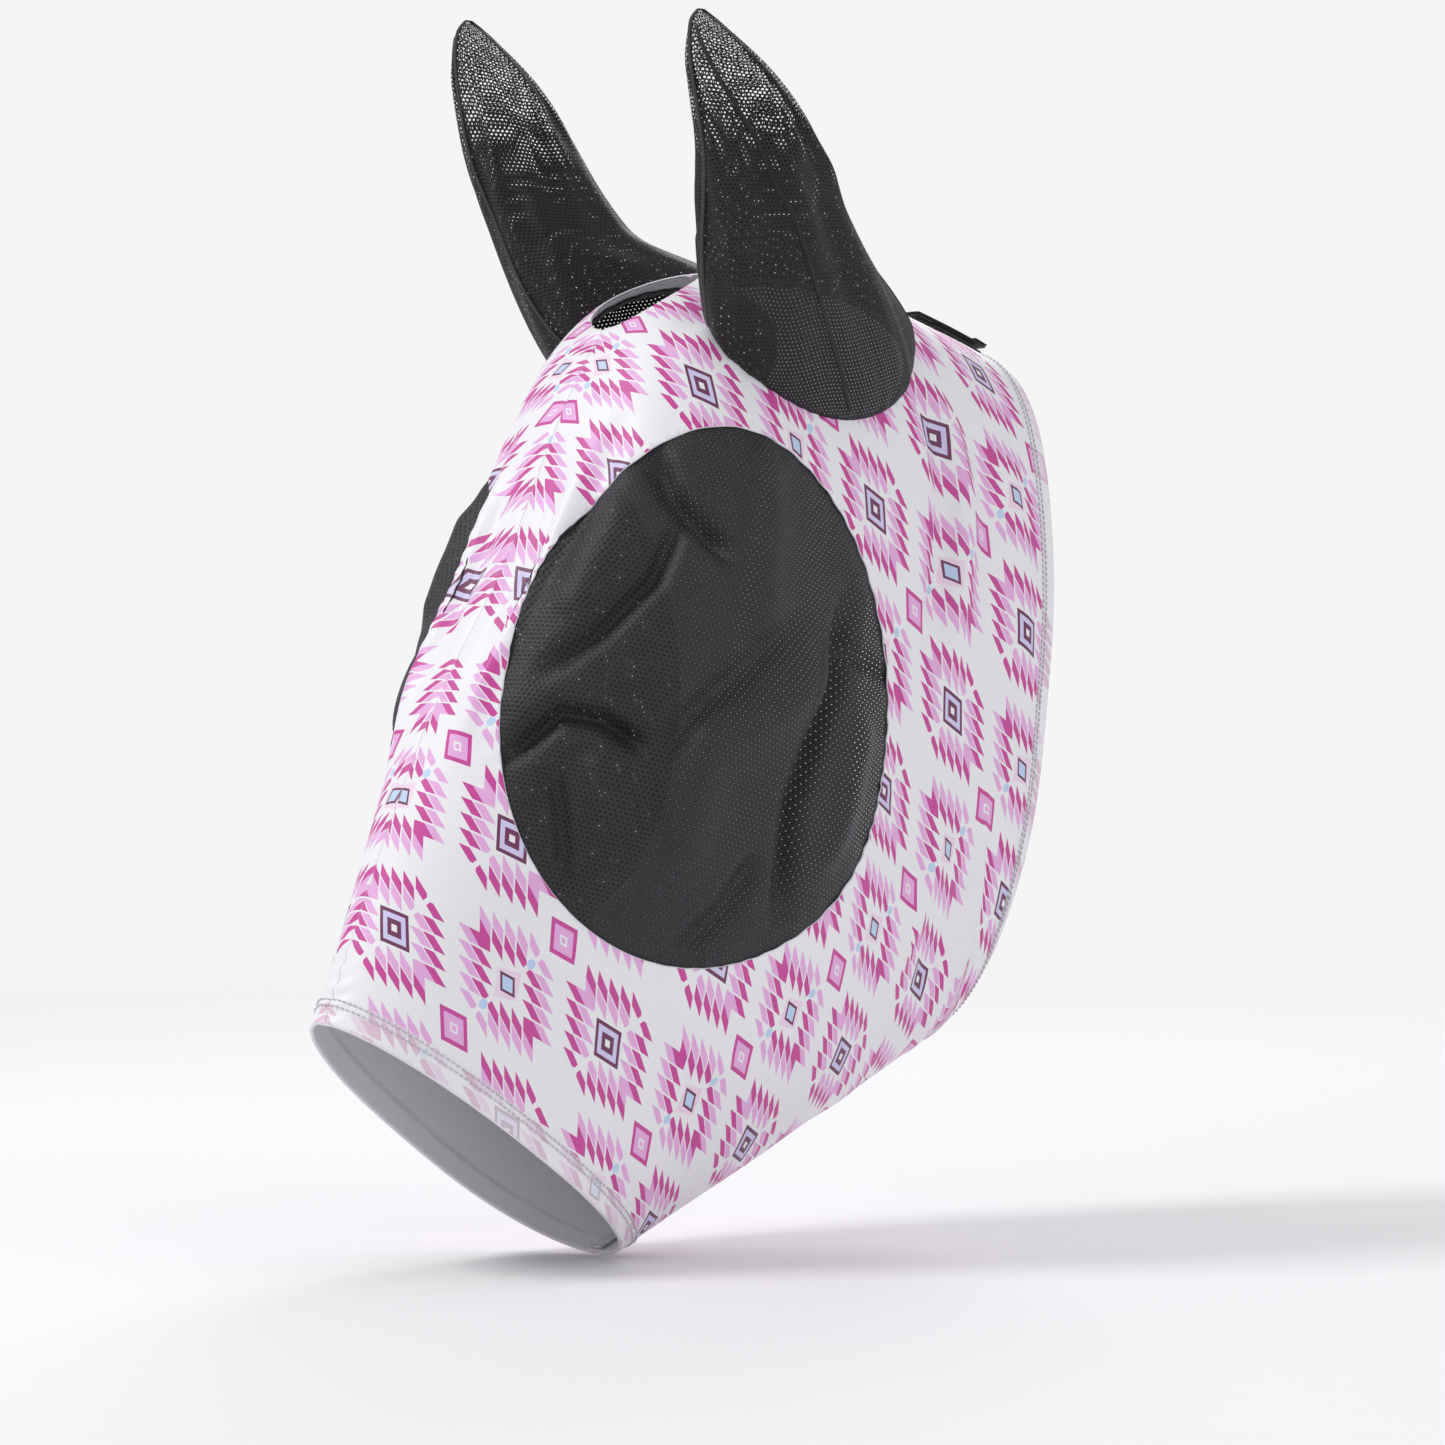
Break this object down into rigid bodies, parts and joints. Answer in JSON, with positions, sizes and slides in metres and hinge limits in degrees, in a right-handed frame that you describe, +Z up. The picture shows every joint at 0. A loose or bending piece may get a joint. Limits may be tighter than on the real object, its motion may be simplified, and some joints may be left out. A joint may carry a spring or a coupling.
{
  "type": "horse fly mask",
  "caption": "Pull-on stretch fly mask for a horse's head with domed eye nets, net ear covers, a forelock hole and a halter keeper strap at the poll.",
  "frame": {"origin": "on the poll at the top of the mask, on the middle line just behind the forelock hole, where the mask rests on the horse's head", "axes": "+Z up as worn, -Y the way the horse faces, +X the horse's left; the middle plane is x = 0"},
  "size_m": [0.2358, 0.434, 0.6339],
  "materials": {
    "printed_stretch_fabric": "soft satin knit, geometric print in magenta, pink and plum",
    "seam_allowance": "overlocked knit edge",
    "stitching_thread": "matte polyester thread",
    "eye_net": "soft black polyester net",
    "ear_net": "soft black polyester net",
    "net_binding": "matte black thread and tape",
    "webbing": "woven black tape",
    "hook_strap": "hook side of a touch fastener",
    "loop_strap": "loop side of a touch fastener"
  },
  "bodies": {
    "mask": {"crest_seam": "seam_allowance", "face_seam": "seam_allowance", "forelock_hem": "seam_allowance", "jaw_seam": "seam_allowance", "keeper_base_strap": "webbing", "keeper_end_fold": "webbing", "keeper_loop_patch": "loop_strap", "left_ear_base_net": "ear_net", "left_ear_base_seam": "net_binding", "left_eye_net": "eye_net", "left_eye_seam": "net_binding", "left_side_panel": "printed_stretch_fabric", "neck_stitch_inner_row": "stitching_thread", "neck_stitch_outer_row": "stitching_thread", "nose_stitch_inner_row": "stitching_thread", "nose_stitch_outer_row": "stitching_thread", "right_ear_base_net": "ear_net", "right_ear_base_seam": "net_binding", "right_eye_net": "eye_net", "right_eye_seam": "net_binding", "right_side_panel": "printed_stretch_fabric"},
    "left_ear": {"left_ear_outer_net": "ear_net", "left_ear_inner_net": "ear_net", "left_ear_edge_seam": "net_binding"},
    "right_ear": {"right_ear_outer_net": "ear_net", "right_ear_inner_net": "ear_net", "right_ear_edge_seam": "net_binding"},
    "keeper_flap": {"keeper_top_strap": "webbing", "keeper_hook_patch": "hook_strap", "keeper_pull_tab": "webbing"}
  },
  "joints": [
    {"name": "left_ear_fold", "type": "hinge", "parent": "mask", "child": "left_ear", "pos_m": [0.079, 0.045, 0.01], "axis": [-1, 0, 0], "range_deg": [0, 70]},
    {"name": "right_ear_fold", "type": "hinge", "parent": "mask", "child": "right_ear", "pos_m": [-0.079, 0.045, 0.01], "axis": [-1, 0, 0], "range_deg": [0, 70]},
    {"name": "keeper_open", "type": "hinge", "parent": "mask", "child": "keeper_flap", "pos_m": [0, 0.1504, -0.0121], "axis": [1, 0, 0], "range_deg": [0, 110]}
  ]
}
